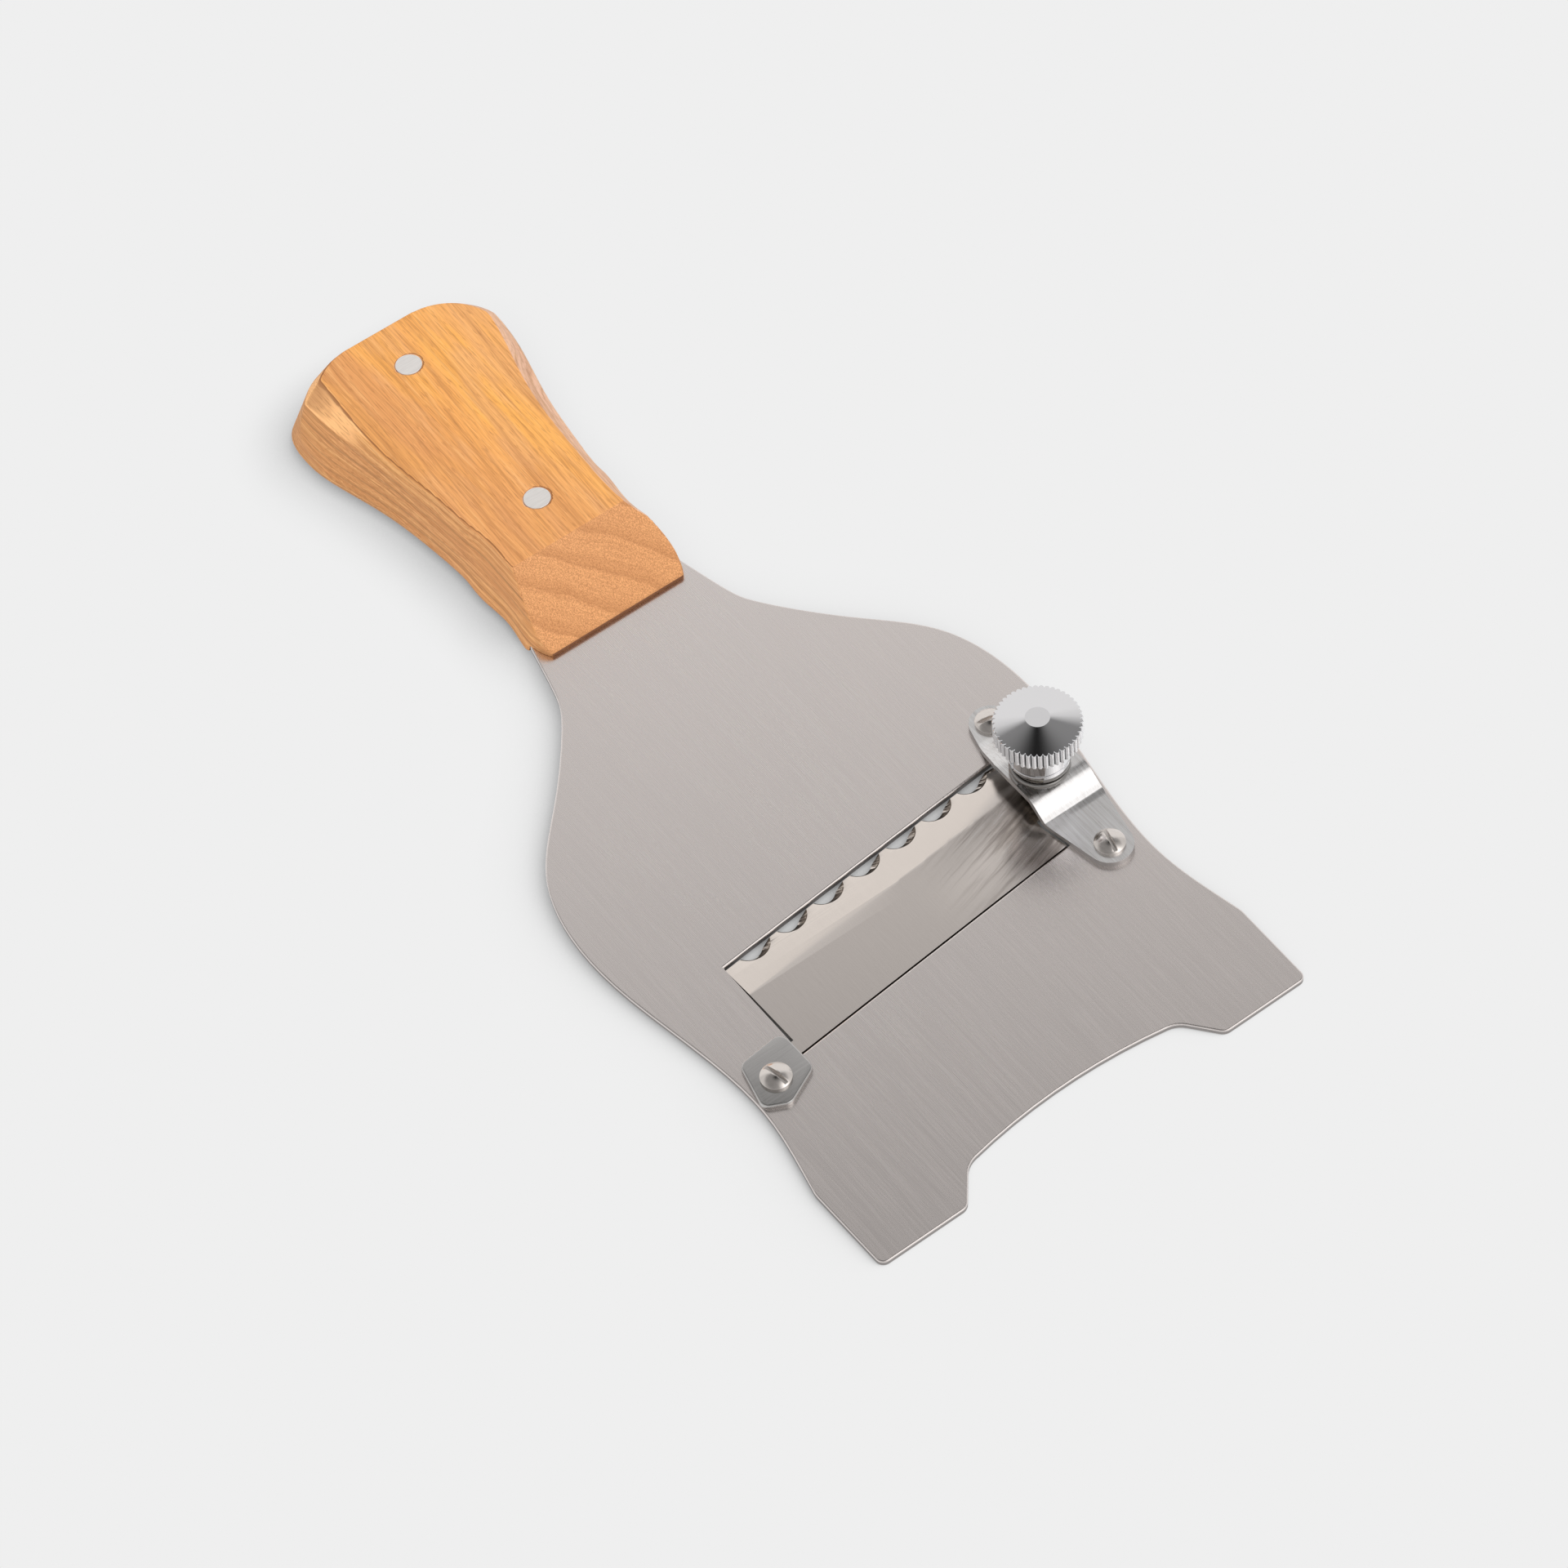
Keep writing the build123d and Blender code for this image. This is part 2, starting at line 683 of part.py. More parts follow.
pieces = {
    "slicer_plate": make_slicer_plate(),
    "handle_block": make_handle_block(),
    "front_handle_rivet": make_rivet(front_rivet_place),
    "rear_handle_rivet": make_rivet(rear_rivet_place),
    "blade": make_blade(),
    "blade_lug": make_blade_lug(),
    "blade_lug_screw": slotted_screw(lug_screw_place, lug_thickness, lug_screw_slot_angle),
    "bridge": make_bridge(),
    "bridge_front_screw": slotted_screw(front_screw_place, bridge_thickness, front_screw_slot_angle),
    "bridge_rear_screw": slotted_screw(rear_screw_place, bridge_thickness, rear_screw_slot_angle),
    "bridge_bush": make_bridge_bush(),
    "knob_spring": make_knob_spring(),
    "thrust_washer": make_thrust_washer(),
    "knob_head": make_knob_head(),
    "knob_stud": make_knob_stud(),
}

os.makedirs("parts", exist_ok=True)
for name, piece in pieces.items():
    export_step(Pos(length / 2, 0, handle_drop) * piece, f"parts/{name}.step")
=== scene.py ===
import json
from math import cos, exp, pi, radians, sin, tan

import bmesh
import bpy
from mathutils import Euler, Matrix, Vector


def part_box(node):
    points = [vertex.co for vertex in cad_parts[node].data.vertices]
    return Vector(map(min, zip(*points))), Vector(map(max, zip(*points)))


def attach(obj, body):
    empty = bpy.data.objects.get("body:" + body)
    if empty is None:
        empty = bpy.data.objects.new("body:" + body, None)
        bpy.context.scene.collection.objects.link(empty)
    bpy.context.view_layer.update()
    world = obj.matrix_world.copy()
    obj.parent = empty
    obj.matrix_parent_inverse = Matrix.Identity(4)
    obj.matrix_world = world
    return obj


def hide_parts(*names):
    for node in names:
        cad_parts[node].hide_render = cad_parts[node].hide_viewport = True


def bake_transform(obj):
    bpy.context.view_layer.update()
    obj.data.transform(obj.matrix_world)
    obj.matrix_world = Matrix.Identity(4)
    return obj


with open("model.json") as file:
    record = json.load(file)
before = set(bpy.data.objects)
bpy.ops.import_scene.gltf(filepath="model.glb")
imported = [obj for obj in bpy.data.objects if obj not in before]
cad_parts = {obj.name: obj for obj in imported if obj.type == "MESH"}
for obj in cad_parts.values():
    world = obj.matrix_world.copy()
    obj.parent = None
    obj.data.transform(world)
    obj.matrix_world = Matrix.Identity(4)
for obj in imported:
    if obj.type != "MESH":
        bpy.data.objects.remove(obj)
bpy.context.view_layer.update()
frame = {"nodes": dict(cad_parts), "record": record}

# Truffle slicer: lengths are in metres, written as millimetres times mm
mm = 0.001

# Camera, as the photograph was taken
camera_place = (0.42973, -0.24369, 0.63009)
camera_turn_degrees = (37.071, 4.137, 53.664)
camera_lens = 106.875
camera_sensor = 36.0
camera_clip_start = 10 * mm

# Pale background, for the world and the floor alike
background_level = 0.863

# Floor: it tilts until it meets the handle's front bottom edge and the underside of the tip
floor_size = 3.0
floor_tilt_degrees = 1.21
floor_touch_x = -35.3 * mm
floor_level = 0.80
floor_roughness = 0.9
floor_specular = 0.1
# Soft shadow on the floor, by how much of the slicer is close to it on the key lamp's side
shadow_reach = 13 * mm
shadow_depth = 1.50
shadow_power = 1.75
shadow_way = (0.72, 0.25, 0.65)

# Room that lights the slicer and shows in its metal: bright behind it and near the horizon, and
# grey overhead, with a soft bright panel at the front right and a dark patch nearly overhead
far_direction = (-0.8698, 0.4940, 0.0)
upward = (0.0, 0.0, 1.0)
room_tint = (1.0, 0.985, 0.975)
# Brightness by how far a direction points to the room's back
back_stops = (
    (0.32, 0.008), (0.41, 0.025), (0.47, 0.11), (0.54, 0.42), (0.60, 0.68), (0.68, 0.80),
    (1.00, 0.80),
)
# Brightness by how far a direction points up
horizon_stops = ((0.0, 0.60), (0.60, 0.62), (0.72, 0.32), (0.80, 0.24))
panel_direction = (0.605, 0.304, 0.7355)
panel_level = 1.35
panel_spread = 0.055
patch_lean = radians(13.0)
patch_spread = 0.020

# Lamps, kept out of reflections: direction, strength, angle in degrees, and whether they cast
# shadows
lamps = {
    "key": ((0.50, 0.35, 0.79), 1.10, 40.0, True),
    "fill": ((0.10, -0.55, 0.83), 1.42, 60.0, False),
}

# Softened edges
handle_voxel = 0.30 * mm
handle_smooth_factor = 0.5
handle_smooth_steps = 3
bridge_bevel = 0.35 * mm
lug_bevel = 0.12 * mm
screw_bevel = 0.10 * mm
washer_bevel = 0.12 * mm
rivet_bevel = 0.10 * mm
blade_bevel = 0.15 * mm
bevel_segments = 3
sharp_angle_degrees = 32.0
weld_distance = 0.002 * mm
flat_angle_degrees = 0.4

# Knob, with heights from its own box
knurl_count = 46
knurl_depth = 0.50 * mm
points_per_tooth = 10
groove_power = 2
head_rim_height = 3.45 * mm
head_cone_height = 1.05 * mm
head_flat_radius = 2.1 * mm
boss_radius = 5.3 * mm
boss_edge_radius = 0.4 * mm
boss_edge_steps = 4
boss_fillet = 0.15 * mm
rim_chamfer = 0.22 * mm
cone_chamfer = rim_chamfer / 2
flat_chamfer = rim_chamfer / 4
knob_sharp_degrees = 7.0

# Bridge: its thickness, and where its strap bends, along x in the part's frame
bridge_bends = (56.45 * mm, 52.65 * mm, 42.75 * mm, 37.05 * mm)
bridge_thickness = 1.1 * mm
bridge_bend_soft = 2.6 * mm
bridge_bend_crisp = 1.0 * mm
bridge_cut_step = 0.35 * mm
bend_samples = 24

# Blade: its shoulder is carried on under the bridge, where the arch leaves room for it to rise
window_slant = radians(5.19)
blade_bridge_gap = 0.25 * mm
blade_reach = 1.8 * mm
blade_reach_drop = 0.4 * mm
blade_clear_rise = 1.6 * mm
blade_step = 0.5 * mm

# Scallops: measured along the blade's edge from this corner, with centres just outside the edge
scallop_start = (45.52 * mm, -29.45 * mm)
first_scallop = 6.55 * mm
scallop_pitch = 8.12 * mm
scallop_count = 7
scallop_outside = 1.65 * mm
scallop_radius = 3.85 * mm
scallop_margin = 0.05 * mm
# Walls on the side of scallop_wall_way lean inwards at the bottom, fully from a share of the depth
scallop_wall_lean = 1.1 * mm
scallop_wall_way = (0.50, 0.866)
scallop_wall_drop = 0.20 * mm
full_lean_share = 0.5

# Shallow trough that the bridge presses into the blade
trough_depth = 0.26 * mm
trough_length = 26.0 * mm
trough_step = 1.0 * mm
trough_width = 3.4 * mm
trough_widening = 0.08
trough_drift = 0.30
trough_place_x = 49.5 * mm

# Spring
spring_wire = 1.1 * mm
spring_mean_radius = 4.7 * mm
spring_turns = 1.85
spring_top_angle_degrees = -31.0
spring_steps_per_turn = 72
spring_sides = 20
spring_sharp_degrees = 50.0

# Noise: where nearly all of its values lie, its middle, and how finely grain is drawn
noise_span = (0.3, 0.7)
noise_middle = 0.5
fine_grain = {"detail": 3.0, "rough": 0.7}

# Brushed metal: the share of fine grain over long streaks, how far roughness varies, and what
# counts as a cut wall by how far a face looks up
grain_share = 0.6
streak_shift = (3.1, 1.7, 0.4)
roughness_spread = 0.12
cut_wall_span = (0.35, 0.10)
cut_wall_roughness = 0.2
# Sizes of grain and streaks are along x, y and z
# Where a metal gives a share for its cut walls, their colour is darkened to it as painted shade
brushed_metals = {
    "brushed_plate": {
        "colour": (0.885, 0.825, 0.80), "roughness": 0.27, "contrast": 0.05, "depth": 0.0012 * mm,
        "grain_sizes": (8 * mm, 0.17 * mm, 1 * mm), "streak_sizes": (22 * mm, 0.5 * mm, 5 * mm),
        "cut_wall_painted_shade": 0.42,
    },
    "brushed_fitting": {
        "colour": (0.90, 0.88, 0.87), "roughness": 0.30, "contrast": 0.18, "depth": 0.003 * mm,
        "grain_sizes": (7 * mm, 0.22 * mm, 0.5 * mm), "streak_sizes": (20 * mm, 0.6 * mm, 2 * mm),
        "cut_wall_painted_shade": 0.7,
    },
    # The lug: the fitting's metal brushed across, and darker than the bridge as painted shade
    "shaded_lug_fitting": {
        "colour": (0.60, 0.59, 0.58), "roughness": 0.24, "contrast": 0.06, "depth": 0.002 * mm,
        "grain_sizes": (0.11 * mm, 6 * mm, 0.5 * mm), "streak_sizes": (0.4 * mm, 20 * mm, 2 * mm),
    },
    "rivet_steel": {
        "colour": (0.95, 0.91, 0.88), "roughness": 0.42, "contrast": 0.07, "depth": 0.004 * mm,
        "grain_sizes": (0.12 * mm, 3 * mm, 1 * mm), "streak_sizes": (0.5 * mm, 6 * mm, 2 * mm),
        "metallic": 0.75,
    },
}

# Polished metal: colour and roughness of each, and the faint dust that both vary with
polished_metals = {
    "screw_nickel": ((0.86, 0.81, 0.77), 0.18),
    "bush_brass": ((0.36, 0.33, 0.28), 0.25),
    "spring_steel": ((0.30, 0.29, 0.28), 0.16),
}
dust_sizes = (0.5 * mm, 0.5 * mm, 0.5 * mm)
dust_detail = 3.0
dust_span = (0.35, 0.65)
dust_contrast = 0.03
dust_roughness_shares = (0.8, 1.25)

# Knob's chrome: its teeth are duller, and painted shade darkens their grooves. The shares are of the
# knurl's depth
chrome_colour = (0.86, 0.86, 0.875)
chrome_roughness = (0.05, 0.075)
groove_painted_shade = (0.06, 0.06, 0.06)
tooth_metallic = 0.45
tooth_depth_share = 1.1
groove_clear_share = 1 / 3

# Blade's steel: a pale bevel, ground scallops with painted shade on their walls, and painted
# reflections and painted shade in the trough by the bridge
blade_colour = (0.80, 0.74, 0.70)
blade_bevel_colour = (0.90, 0.825, 0.765)
trough_painted_dark = (0.22, 0.185, 0.16)
trough_painted_highlight = (1.0, 0.96, 0.93)
# Painted shade on the blade's walls, the scallops' above all: brown at their top, near black lower
# down
painted_wall_shade_top = (0.60, 0.53, 0.46)
painted_wall_shade_bottom = (0.10, 0.09, 0.085)
blade_contrast = 0.03
blade_grain_sizes = (5 * mm, 0.14 * mm, 1 * mm)
blade_grain_depth = 0.0006 * mm
blade_roughness = (0.18, 0.23)
painted_wall_shade_span = (3.16 * mm, 3.62 * mm)
bevel_end_x = 49.57 * mm
bevel_end_fade = 1 * mm
trough_full_y = 30.0 * mm
trough_reflection_y = (4.0 * mm, trough_full_y)
trough_painted_shade_y = (16.0 * mm, trough_full_y)
# Painted reflection streaks, with sizes across and along the blade
trough_reflection_streaks = {"sizes": (1.1 * mm, 16 * mm), "detail": 3.0, "rough": 0.6}
# Colours laid over the steel in turn: a colour, its greatest share, and the patterns that weaken
# it. A pattern stands alone, or with where it is weakest and where it is full
blade_layers = (
    (blade_bevel_colour, 1.0, ("facing", -0.03, -0.06)),
    # Painted shade by the bridge, then dark and light streaks of painted reflection
    (trough_painted_dark, 0.40, ("flat",), ("y", *trough_painted_shade_y)),
    (trough_painted_dark, 0.75, ("flat",), ("y", *trough_reflection_y), ("streak", 0.46, 0.66)),
    (trough_painted_highlight, 0.60, ("flat",), ("y", *trough_reflection_y), ("streak", 0.44, 0.30)),
)
painted_wall_shade_mark = ("up", 0.96, 0.90)

# Wood: growth layers lie across this direction, and the fibres run along x
layer_direction = (0.03, 0.52, 0.854)
layer_wander = 1.5 * mm
layer_spacing = 4.6 * mm
layer_start = 8.4 * mm
small_layer_spacing = 1.55 * mm
wood_roughness = (0.50, 0.62)
wood_specular = 0.10
wood_relief_depth = 0.02 * mm
fibre_relief_share = 0.6
# Noise in the wood, with sizes along x, y and z
wood_noise = {
    "wander": {"sizes": (70 * mm, 9 * mm, 9 * mm)},
    "golden": {"sizes": (38 * mm, 6 * mm, 6 * mm), "shift": (7.3, 1.1, 0.6)},
    "tan": {"sizes": (24 * mm, 4 * mm, 4 * mm), "shift": (1.9, 8.4, 2.2)},
    "fibre": {"sizes": (12 * mm, 0.32 * mm, 0.32 * mm), "detail": 3.0, "rough": 0.65},
    "pore": {"sizes": (3 * mm, 0.24 * mm, 0.24 * mm), "detail": 1.0, "shift": (5.0, 2.0, 1.0)},
    "speckle": {"sizes": (0.4 * mm, 0.19 * mm, 0.19 * mm), **fine_grain},
}
# Streaks that follow the growth layers: sizes along x, across the layers and along y
layer_streaks = {"sizes": (45 * mm, 0.55 * mm, 18 * mm), "detail": 4.0, "rough": 0.70}
thin_streaks = {"sizes": (28 * mm, 0.26 * mm, 12 * mm), "detail": 3.0, "rough": 0.6}
# Stripes of the walls: sizes along x and up
wall_stripes = {"sizes": (110 * mm, 0.8 * mm), "detail": 3.0, "rough": 0.6}
# Strength of the growth lines from one layer to the next, on the long faces and in end grain
line_stops = ((0.0, 1.0), (0.05, 0.75), (0.16, 0.25), (0.45, 0.0), (0.97, 0.0), (1.0, 0.8))
band_stops = ((0.0, 1.0), (0.12, 0.75), (0.34, 0.25), (0.60, 0.0), (0.95, 0.0), (1.0, 0.9))
small_line_stops = ((0.0, 1.0), (0.15, 0.5), (0.5, 0.0), (0.9, 0.0), (1.0, 1.0))
# Colour of the wood by the height of its growth layer
wood_tones = (
    (-9 * mm, (0.57, 0.275, 0.105)), (2 * mm, (0.62, 0.295, 0.110)), (6 * mm, (0.74, 0.335, 0.11)),
    (10 * mm, (0.80, 0.37, 0.115)), (14 * mm, (0.86, 0.41, 0.120)), (18 * mm, (0.82, 0.41, 0.150)),
    (24 * mm, (0.72, 0.345, 0.13)),
)
wood_dark = (0.38, 0.155, 0.058)
wood_golden = (0.92, 0.44, 0.095)
wood_tan = (0.76, 0.40, 0.19)
wood_pale = (0.95, 0.57, 0.25)
wood_edge_line = (0.24, 0.095, 0.04)
strip_painted_shadow = (0.19, 0.085, 0.05)
wood_front = (0.70, 0.33, 0.135)
wood_olive = (0.36, 0.19, 0.085)
left_facet_painted_light = (1.0, 0.56, 0.25)
right_facet_painted_sheen = (0.80, 0.53, 0.40)
end_grain_light = (0.78, 0.39, 0.170)
end_grain_dark = (0.50, 0.225, 0.095)
front_strip_top = 5.0 * mm
front_tone_x = (-72 * mm, -44 * mm)
front_tone_y = (11 * mm, 2 * mm)
left_tone_y = (-2 * mm, -9 * mm)
# The left facet ends in a pale leaf at the butt, painted light where the facet faces up and left
leaf_x = (-78 * mm, -83 * mm)
leaf_share = 0.85
left_facet_marks = (("side", -0.30, -0.45), ("up", 0.45, 0.66))
wall_mark = ("up", 0.75, 0.45)
# Colours laid over the wood in turn, as they are on the blade. A third number with a pattern is
# the least that it leaves of the share
wood_layers = (
    # Patches
    (wood_golden, 0.55, ("golden", 0.48, 0.62)),
    (wood_tan, 0.45, ("tan", 0.50, 0.64)),
    # Left facet in front of the leaf, darkened as painted shade, then the front, the left side and the
    # right facet
    (wood_dark, 0.38, *left_facet_marks, ("x", leaf_x[1], leaf_x[0])),
    (wood_front, 0.62, ("x", *front_tone_x), ("y", *front_tone_y, 0.3)),
    (wood_front, 0.48, ("y", *left_tone_y)),
    # The right facet's paler tone is a painted sheen
    (right_facet_painted_sheen, 0.85, ("side", 0.30, 0.45), ("up", 0.30, 0.50)),
    # Streaks and lines along the growth layers
    (wood_dark, 0.42, ("streak", 0.49, 0.68)),
    (wood_pale, 0.35, ("streak", 0.46, 0.28)),
    (wood_dark, 0.32, ("thin", 0.50, 0.70)),
    (wood_dark, 0.22, ("line",)),
    # Stripes of the walls, the leaf's painted light, and fine lines that are strongest on the walls
    (wood_olive, 0.52, ("wall",), ("stripe", 0.50, 0.64)),
    (wood_pale, 0.35, ("wall",), ("stripe", 0.46, 0.34)),
    (left_facet_painted_light, 1.0, ("leaf",)),
    (wood_dark, 0.15, ("small_line",), (*wall_mark, 0.2)),
    # Fibres and pores
    (wood_dark, 0.34, ("fibre", 0.50, 0.68)),
    (wood_pale, 0.28, ("fibre", 0.46, 0.30)),
    (wood_dark, 0.42, ("pore", 0.58, 0.70)),
    # A dark line right along the left edge of the top, on its rounding
    (wood_edge_line, 0.80, ("up", 0.72, 0.85), ("up", 0.997, 0.985), ("side", -0.06, -0.14)),
)
# Colours laid over the end grain's dark tone, and where the end grain and the painted shadow strip at
# its foot lie on the handle's front
end_grain_layers = (
    (end_grain_light, 1.0, ("speckle", 0.36, 0.62)),
    (wood_dark, 0.42, ("band",)),
    (wood_dark, 0.20, ("thin", 0.42, 0.66)),
)
end_grain_mark = ("facing", 0.35, 0.50)
strip_mark = ("facing", 0.75, 0.92)
strip_share = 0.85


# Small helpers

def clamped(value):
    """A value kept between 0 and 1."""
    return min(1.0, max(0.0, value))


def scaled(colour, factor):
    """A colour made lighter or darker."""
    return tuple(min(1.0, part * factor) for part in colour)


def middle_of(node):
    """The middle of a CAD node's box."""
    low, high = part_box(node)
    return (low + high) / 2


def body_of(node):
    """The body that a CAD node belongs to."""
    for name, members in frame["record"]["behaviour"]["bodies"].items():
        if node in members:
            return name
    return None


def new_object(name, mesh):
    """An object in the scene with the given mesh."""
    piece = bpy.data.objects.new(name, mesh)
    bpy.context.scene.collection.objects.link(piece)
    return piece


def finished_mesh(work, name):
    """A new mesh from the one worked on, which is freed."""
    mesh = bpy.data.meshes.new(name)
    work.to_mesh(mesh)
    work.free()
    return mesh


def shade(piece, angle_degrees=sharp_angle_degrees):
    """Smooth shading, with edges sharper than the angle kept crisp."""
    for face in piece.data.polygons:
        face.use_smooth = True
    piece.data.set_sharp_from_angle(angle=radians(angle_degrees))


def round_edges(piece, width):
    """Rounds the sharp edges of a piece."""
    shade(piece)
    bevel = piece.modifiers.new("rounded_edges", "BEVEL")
    bevel.width = width
    bevel.segments = bevel_segments
    bevel.limit_method = "ANGLE"
    bevel.angle_limit = radians(sharp_angle_degrees)
    bevel.harden_normals = True


def dress(piece, node, body, slot, look=None):
    """Puts the piece in place of a CAD node, with its body and slot, and the slot's own material
    unless another look is named."""
    piece.data.materials.clear()
    piece.data.materials.append(materials[look or slot])
    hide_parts(node)
    if body:
        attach(piece, body)


def copied_mesh(node):
    """The CAD node's mesh as a new one, welded, with its flat faces joined."""
    work = bmesh.new()
    work.from_mesh(frame["nodes"][node].data)
    bmesh.ops.remove_doubles(work, verts=work.verts, dist=weld_distance)
    bmesh.ops.dissolve_limit(work, angle_limit=radians(flat_angle_degrees),
                             verts=work.verts, edges=work.edges)
    return finished_mesh(work, node + "_mesh")


def cut_in_steps(work, way, start, step, count):
    """Cuts a mesh along evenly spaced planes across a direction, so that it can bend there."""
    for number in range(count):
        everything = list(work.verts) + list(work.edges) + list(work.faces)
        bmesh.ops.bisect_plane(work, geom=everything, plane_co=way * (start + number * step),
                               plane_no=way)


def join_rings(work, rings):
    """Faces between rings of vertices that follow each other, with both ends closed."""
    for lower, upper in zip(rings, rings[1:]):
        count = len(lower)
        for number in range(count):
            after = (number + 1) % count
            work.faces.new((lower[number], lower[after], upper[after], upper[number]))
    work.faces.new(list(reversed(rings[0])))
    work.faces.new(rings[-1])


# Materials

class Graph:
    """The nodes of a material or of the world, added and linked in one line each."""

    def __init__(self, owner):
        owner.use_nodes = True
        self.owner = owner
        self.tree = owner.node_tree

    def put(self, socket, value):
        """Links another node's output to a socket, or sets the socket's own value."""
        if isinstance(value, bpy.types.NodeSocket):
            self.tree.links.new(value, socket)
        elif socket.type == "RGBA":
            socket.default_value = (*value, 1.0)
        else:
            socket.default_value = value

    def add(self, kind, inputs=None, **settings):
        """A node with its settings and inputs."""
        node = self.tree.nodes.new(kind)
        for key, value in settings.items():
            setattr(node, key, value)
        for key, value in (inputs or {}).items():
            self.put(node.inputs[key], value)
        return node

    def math(self, operation, *values):
        """One step of arithmetic."""
        return self.add("ShaderNodeMath", dict(enumerate(values)), operation=operation).outputs[0]

    def average(self, share, first, second):
        """Two values added, the first by its share and the second by the rest."""
        return self.math("ADD", self.math("MULTIPLY", first, share),
                         self.math("MULTIPLY", second, 1 - share))

    def coordinates(self, kind):
        """Object: the place on the piece in the part's frame. Normal: where its surface faces."""
        return self.add("ShaderNodeTexCoord").outputs[kind]

    def axes(self, vector):
        """The x, y and z of a vector."""
        node = self.add("ShaderNodeSeparateXYZ", {0: vector})
        return node.outputs[0], node.outputs[1], node.outputs[2]

    def vector(self, x, y, z=0.0):
        """A vector from its x, y and z."""
        return self.add("ShaderNodeCombineXYZ", {0: x, 1: y, 2: z}).outputs[0]

    def reach(self, vector, way):
        """How far a vector reaches along a direction."""
        node = self.add("ShaderNodeVectorMath", {0: vector, 1: way}, operation="DOT_PRODUCT")
        return node.outputs["Value"]

    def noise(self, vector, detail=2.0, rough=0.5):
        """Noise whose blotches are about 1 across."""
        node = self.add("ShaderNodeTexNoise", {"Vector": vector, "Scale": 1.0, "Detail": detail,
                                               "Roughness": rough})
        return node.outputs["Fac"]

    def stretched(self, sizes, detail=2.0, rough=0.5, shift=(0.0, 0.0, 0.0)):
        """Noise whose blotches have the given sizes along x, y and z."""
        scale = self.add("ShaderNodeVectorMath",
                         {0: self.coordinates("Object"), 1: [1 / size for size in sizes]},
                         operation="MULTIPLY").outputs[0]
        moved = self.add("ShaderNodeVectorMath", {0: scale, 1: shift}, operation="ADD").outputs[0]
        return self.noise(moved, detail, rough)

    def noise_over(self, values, sizes, detail, rough):
        """Noise whose blotches have the given sizes along the given values."""
        divided = [self.math("DIVIDE", value, size) for value, size in zip(values, sizes)]
        return self.noise(self.vector(*divided), detail, rough)

    def repeated(self, value, spacing):
        """A value that goes from 0 to 1 over each spacing."""
        return self.math("FRACT", self.math("DIVIDE", value, spacing))

    def ramp(self, value, stops):
        """A colour or grey level looked up by a value."""
        node = self.add("ShaderNodeValToRGB", {0: value})
        elements = node.color_ramp.elements
        while len(elements) < len(stops):
            elements.new(1.0)
        for element, (place, colour) in zip(elements, stops):
            element.position = place
            element.color = (*colour, 1.0) if isinstance(colour, tuple) else (*[colour] * 3, 1.0)
        return node.outputs[0]

    def range(self, value, low, high, to_low=0.0, to_high=1.0):
        """A value that goes smoothly from one end to the other between two limits."""
        node = self.add("ShaderNodeMapRange", {0: value, 1: low, 2: high, 3: to_low, 4: to_high},
                        interpolation_type="SMOOTHSTEP")
        return node.outputs[0]

    def mix(self, share, first, second):
        """Two colours mixed by the second one's share."""
        node = self.add("ShaderNodeMix", data_type="RGBA")
        for number, value in ((0, share), (6, first), (7, second)):
            self.put(node.inputs[number], value)
        return node.outputs[2]

    def bump(self, height, distance):
        """A normal that shows a height as relief."""
        return self.add("ShaderNodeBump", {"Height": height, "Distance": distance}).outputs[0]

    def finish(self, **inputs):
        """Sets the shader's inputs, named with underscores for spaces, and gives the material."""
        shader = self.tree.nodes["Principled BSDF"]
        for key, value in inputs.items():
            self.put(shader.inputs[key.replace("_", " ")], value)
        return self.owner


def new_material(name):
    """The nodes of a new material."""
    return Graph(bpy.data.materials.new(name))


def marked(g, patterns, share, marks):
    """A share weakened by patterns, each by its name alone or with where it is weakest and full."""
    for name, *limits in marks:
        pattern = patterns[name]
        if limits:
            weakest_at, full_at, *least = limits
            pattern = g.range(pattern, weakest_at, full_at, *(least or [0.0]), 1.0)
        share = g.math("MULTIPLY", pattern, share)
    return share


def overlaid(g, patterns, tone, layers):
    """A tone with other colours laid over it in turn."""
    for colour, share, *marks in layers:
        tone = g.mix(marked(g, patterns, share, marks), tone, colour)
    return tone


def brushed_metal(name, colour, roughness, contrast, depth, grain_sizes, streak_sizes,
                  cut_wall_painted_shade=1.0, metallic=1.0):
    """Metal brushed in one direction: fine lines in its colour, roughness and relief, and rougher
    walls where it was cut, darkened as painted shade."""
    g = new_material(name)
    grain = g.stretched(grain_sizes, **fine_grain)
    both = g.average(grain_share, grain, g.stretched(streak_sizes, shift=streak_shift))
    tone = g.mix(g.range(both, *noise_span), scaled(colour, 1 - contrast),
                 scaled(colour, 1 + contrast))
    rough = g.range(both, *noise_span, roughness * (1 - roughness_spread),
                    roughness * (1 + roughness_spread))
    # Cut walls: rougher, and darker as painted shade
    if cut_wall_painted_shade < 1.0:
        up = g.math("ABSOLUTE", g.axes(g.coordinates("Normal"))[2])
        wall = g.range(up, *cut_wall_span)
        tone = g.mix(wall, tone, scaled(colour, cut_wall_painted_shade))
        rough = g.math("ADD", rough, g.math("MULTIPLY", wall, cut_wall_roughness))
    return g.finish(Base_Color=tone, Metallic=metallic, Roughness=rough,
                    Normal=g.bump(grain, depth))


def polished_metal(name, colour, roughness):
    """Plated or polished metal with a faint unevenness."""
    g = new_material(name)
    dust = g.stretched(dust_sizes, detail=dust_detail)
    tone = g.mix(g.range(dust, *dust_span), scaled(colour, 1 - dust_contrast), colour)
    rough = g.range(dust, *noise_span, *(roughness * share for share in dust_roughness_shares))
    return g.finish(Base_Color=tone, Metallic=1.0, Roughness=rough)


